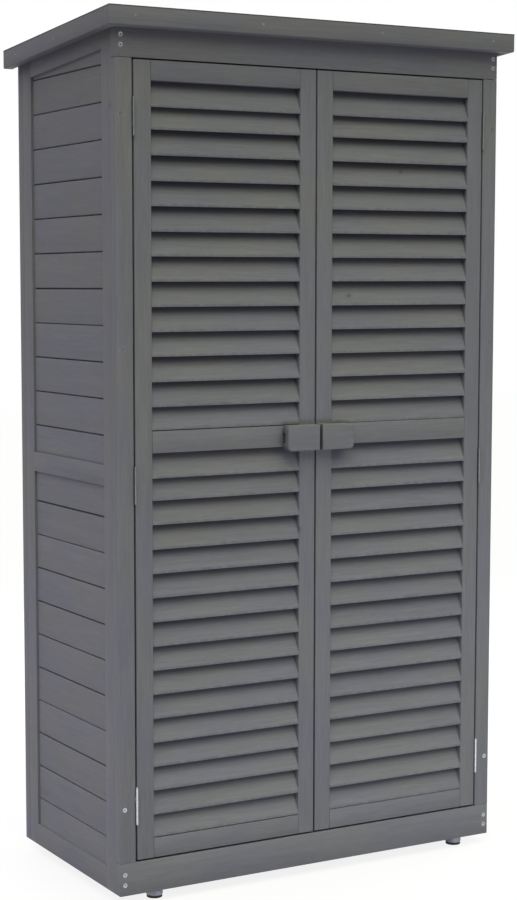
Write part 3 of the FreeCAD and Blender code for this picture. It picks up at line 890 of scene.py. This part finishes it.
def make_planks(node, rails, facing):
    """Planks of both bays, let into the rails and stiles."""
    low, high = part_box(node)
    lower_rail, middle_rail, upper_rail = rails
    if facing == faces_back:
        finish = fir_x
        length = high.x - low.x
        corner = Vector((high.x, high.y, 0))
        top = upper_rail[0].z
        ceiling = top + plank_housing
        ceiling_slope = 0.0
    else:
        finish = fir_y
        length = high.y - low.y
        corner = Vector((low.x, high.y, 0) if facing == faces_left else (high.x, low.y, 0))
        rail_height = lower_rail[1].z - lower_rail[0].z
        under_rail = under_roof(0.0) - rail_height
        top = under_rail - roof_slope * upper_rail[1].y
        ceiling = under_rail + plank_housing
        ceiling_slope = -roof_slope
    bays = (
        (top - upper_starter, middle_rail[1].z, ceiling, ceiling_slope),
        (middle_rail[0].z - lower_starter, lower_rail[1].z, middle_rail[0].z + plank_housing, 0.0),
    )
    meshes = []
    for seed, (joint, bottom, highest, slope) in enumerate(bays, plank_seed):
        count = spare_planks + int((joint - bottom) // plank_cover)
        meshes.append(board_row(
            plank_outline(), finish, seed, length=length, facing=facing, start=corner + Vector((0, 0, joint)),
            step=(0.0, 0.0, -plank_cover), count=count, floor=bottom - plank_housing, ceiling=highest,
            ceiling_slope=slope, wander=plank_wander))
    place_piece(joined(meshes, node), node + "_row", finish, node)


def make_back_panel():
    stiles = solids("back_stiles", "x")
    boards("back_stiles", [shrunk(stile, front=joint_gap) for stile in stiles], fir_z, sloped=True)
    rails = solids("back_rails")
    for low, high in rails:
        low.x = stiles[0][1].x
        high.x = stiles[1][0].x
    boards("back_rails", rails, fir_x, sloped=True)
    make_planks("back_planks", rails, faces_back)


# Roof

def make_roof():
    for node, finish in (("front_fascia", fir_x), ("back_fascia", fir_x),
                         ("left_fascia", fir_y), ("right_fascia", fir_y)):
        fascia(node, finish)
    smoothed("roof_felt", felt)
    low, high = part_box("roof_boards")
    count = len(solids("roof_boards", "y"))
    width = (high.y - low.y) / count
    thickness = high.z - low.z - roof_slope * (high.y - low.y)
    fall = roof_slope * width
    outline = [(0, 0), (width, -fall), (width, thickness - fall), (0, thickness)]
    row = board_row(outline, fir_x, roof_seed, length=high.x - low.x, facing=faces_front, count=count,
                    start=Vector((low.x, low.y, high.z - thickness)), step=(0.0, width, -fall))
    place_piece(joined([row], "roof_boards"), "roof_boards_row", fir_x, "roof_boards")
    smoothed("roof_battens", fir_y)


def fascia(node, finish):
    """A board cut along the roof's fall. Its outer face lies a hair behind the heads of the nails."""
    low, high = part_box(node)
    height = high.z - low.z - roof_slope * (high.y - low.y)

    def upper_edge(y):
        return high.z - roof_slope * (y - low.y)

    def is_low(vertex):
        return vertex.co.z < upper_edge(vertex.co.y) - height / 2

    def is_outer(edge):
        first, second = (vertex.co for vertex in edge.verts)
        reach = cad_high.x - 2 * head_rise
        same_side = min(first.x, second.x) > reach or max(first.x, second.x) < -reach
        return same_side or max(first.y, second.y) < cad_low.y + 2 * head_rise

    mesh = board_mesh()
    for vertex in bmesh.ops.create_cube(mesh, size=1.0)["verts"]:
        drop = 0.0 if vertex.co.z > 0 else height
        place = box_corner(vertex, low, high)
        place.z = upper_edge(place.y) - drop
        for i in range(2):
            if abs(abs(place[i]) - cad_high[i]) < merge_distance:
                place[i] -= math.copysign(head_rise, place[i])
        vertex.co = place
    hanging = [edge for edge in mesh.edges if is_outer(edge) and all(is_low(end) for end in edge.verts)]
    soften(mesh, hanging, fascia_edge_radius, worn_bevel_steps)
    sharp = [edge for edge in mesh.edges if edge.calc_face_angle(0.0) > sharp_angle]
    mark_edges(mesh, soften(mesh, sharp))
    bmesh.ops.recalc_face_normals(mesh, faces=mesh.faces)
    place_piece(finished(mesh, node), node + "_board", finish, node)


# Inside

def make_inside():
    boards("floor_boards", solids("floor_boards", "x"), fir_y)
    boards("floor_bearers", solids("floor_bearers"), fir_x)
    boards("door_stops", solids("door_stops"), fir_x)
    boards("shelf_cleats", solids("shelf_cleats"), fir_y)
    for node in ("lower_shelf", "upper_shelf"):
        boards(node, solids(node), fir_x)
    smoothed("magnet_catches", catch_plastic)


# Doors

def slat_outline(depth, height):
    """End of a slat from its upright nose: it leans back over its whole depth and thins upwards."""
    face = depth - slat_top_thickness
    return [(0, 0), (slat_heel_depth, 0), (depth, height), (face, height), (0, slat_nose_height)]


def make_slats(side, mid_rail, left, right):
    """Slats of both bays. The lowest and highest stand apart from the even row between them."""
    node = f"{side}_slats"
    slats = solids(node)
    seed = slat_seeds[side]
    meshes = []
    for above in (False, True):
        bay = [(low, high) for low, high in slats if (low.z > mid_rail[0].z) == above]
        even = bay[1:-1]
        depth, height = (bay[0][1] - bay[0][0]).yz
        lean = (depth - slat_top_thickness) / (height - slat_nose_height)
        pitch = (even[-1][0].z - even[0][0].z) / (len(even) - 1)
        for first, count in ((bay[0], 1), (even[0], len(even)), (bay[-1], 1)):
            start = Vector((left, first[0].y, first[0].z))
            meshes.append(board_row(
                slat_outline(depth, height), fir_x, seed, length=right - left, facing=faces_front,
                start=start, step=(0.0, 0.0, pitch), count=count, ceiling=bay[-1][1].z, lean=lean,
                edge_radius=slat_edge_radius, wander=slat_wander, rubbed_width=rubbed_and_highlight_strip,
                covered_height=height))
            seed += 1
    place_piece(joined(meshes, node), node + "_row", fir_x, node)


def make_door(side):
    hinge_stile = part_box(f"{side}_hinge_stile")
    meeting_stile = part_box(f"{side}_meeting_stile")
    boards(f"{side}_hinge_stile", [hinge_stile], fir_z, worn="left right")
    boards(f"{side}_meeting_stile", [meeting_stile], fir_z, worn="left right")
    left_stile, right_stile = sorted((hinge_stile, meeting_stile), key=lambda box: box[0].x)
    left = left_stile[1].x
    right = right_stile[0].x
    for rail in ("top", "mid", "bottom"):
        node = f"{side}_door_{rail}_rail"
        low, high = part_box(node)
        low.x = left
        high.x = right
        boards(node, [(low, high)], fir_x)
    make_slats(side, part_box(f"{side}_door_mid_rail"), left, right)
    smoothed(f"{side}_handle", fir_x)
    for metal in ("hinge_leaves", "hinge_screws", "handle_screws", "strike_plate"):
        smoothed(f"{side}_{metal}", zinc)


def make_fixings():
    for node in ("hinge_frame_leaves", "hinge_pins", "hinge_frame_screws"):
        smoothed(node, zinc)
    smoothed("frame_screws", screw_zinc)
    smoothed("fascia_nails", nail_zinc)
    smoothed("foot_caps", foot_plastic)
    smoothed("foot_pads", foot_rubber)


make_front_frame()
for side in sides:
    make_side_panel(side)
    make_door(side)
make_back_panel()
make_roof()
make_inside()
make_fixings()


# Camera, floor and light

def make_camera():
    heading = Vector((math.sin(camera_heading), math.cos(camera_heading), 0))
    forward = heading * math.cos(camera_pitch) - Vector((0, 0, math.sin(camera_pitch)))
    level = Vector((math.cos(camera_heading), -math.sin(camera_heading), 0))
    upward = level.cross(forward)
    right = level * math.cos(camera_roll) + upward * math.sin(camera_roll)
    up = upward * math.cos(camera_roll) - level * math.sin(camera_roll)
    lens = bpy.data.cameras.new("photo_camera")
    lens.sensor_width = sensor_width
    lens.lens = photo_focal_length * sensor_width / photo_height
    lens.shift_x = (photo_width / 2 - photo_centre_x) / photo_height
    lens.shift_y = (photo_centre_y - photo_height / 2) / photo_height
    lens.clip_end = farthest_seen
    camera = add_object("photo_camera", lens)
    turn = Matrix((right, up, -forward)).transposed().to_4x4()
    camera.matrix_world = Matrix.Translation(camera_place) @ turn
    bpy.context.scene.camera = camera


def make_floor():
    """Pale floor that shows nearly white and keeps a soft shadow."""
    size = floor_half_width
    corners = [(-size, -size, 0), (size, -size, 0), (size, size, 0), (-size, size, 0)]
    mesh = bpy.data.meshes.new("studio_floor")
    mesh.from_pydata(corners, [], [(0, 1, 2, 3)])
    floor = add_object("studio_floor", mesh)
    finish = Finish("studio_floor", roughness=0.9, specular=0.1)
    shown = finish.background_rays()
    finish.paint(finish.blend(shown, opaque(floor_grey), opaque(floor_seen_grey)))
    glow = finish.add("ShaderNodeEmission", {}, {"Strength": 1.0})
    lit = Wire(finish, finish.shader.outputs["BSDF"])
    mixed = finish.add("ShaderNodeMixShader", {}, {0: shown * floor_glow, 1: lit, 2: glow})
    finish.feed(finish.nodes["Material Output"].inputs["Surface"], mixed)
    mesh.materials.append(finish.material)


def make_world():
    """Weak tinted light from all around, from a background that itself shows as plain white."""
    world = bpy.data.worlds.new("studio")
    world.use_nodes = True
    bpy.context.scene.world = world
    sky = Graph(world.node_tree)
    shown = sky.background_rays()
    background = sky.nodes["Background"]
    sky.feed(background.inputs["Color"], sky.blend(shown, opaque(world_tint), opaque(white)))
    sky.feed(background.inputs["Strength"], world_strength + shown * (1.0 - world_strength))


def add_lamp(name, kind, strength, tint, turn):
    """A lamp turned to what it lights."""
    light = bpy.data.lights.new(name, kind)
    light.energy = strength
    light.color = tint
    lamp = add_object(name, light)
    lamp.rotation_mode = "QUATERNION"
    lamp.rotation_quaternion = turn
    return lamp


def add_sun(name, heading, height, spread, strength, tint):
    """Broad, even light from a heading right of the front and a height above the floor, in degrees."""
    across, up = math.radians(heading), math.radians(height)
    source = Vector((math.sin(across) * math.cos(up), -math.cos(across) * math.cos(up), math.sin(up)))
    lamp = add_lamp(name, "SUN", strength, tint, source.to_track_quat("Z", "Y"))
    lamp.data.angle = math.radians(spread)


def add_soft_light(name, place, target, power, tint=white, mirrored=True):
    """Soft light from a low wide panel, which stands for the bright floor or for a pale wall."""
    turn = (Vector(target) - Vector(place)).to_track_quat("-Z", "Y")
    lamp = add_lamp(name, "AREA", power, tint, turn)
    lamp.data.shape = "RECTANGLE"
    lamp.data.size = panel_width
    lamp.data.size_y = panel_height
    lamp.location = place
    lamp.visible_camera = False
    lamp.visible_glossy = mirrored


make_camera()
make_floor()
make_world()
add_sun("front_light", heading=10, height=58, spread=64, strength=2.27, tint=(0.945, 1.0, 0.77))
add_sun("left_light", heading=-75, height=50, spread=60, strength=1.80, tint=(0.90, 0.905, 1.0))
add_soft_light("front_floor_light", place=(0.3, -1.9, 0.15), target=(0.1, -0.2, 0.2), power=14.5,
               tint=(0.73, 0.68, 1.0))
add_soft_light("left_floor_light", place=(-2.0, -0.1, 0.15), target=(-0.4, 0.0, 0.2), power=12.0,
               tint=(0.86, 0.81, 1.0))
add_soft_light("right_floor_light", place=(1.1, -1.1, 0.15), target=(0.35, -0.2, 0.3), power=1.9,
               tint=(0.76, 1.0, 0.6))
add_soft_light("back_wall_light", place=(0.5, 2.8, 1.3), target=(0.0, 0.2, 0.8), power=55.0,
               mirrored=False)
add_soft_light("right_wall_light", place=(2.9, 0.7, 1.2), target=(0.4, 0.1, 0.8), power=45.0,
               mirrored=False)
bpy.context.scene.view_settings.view_transform = "Standard"
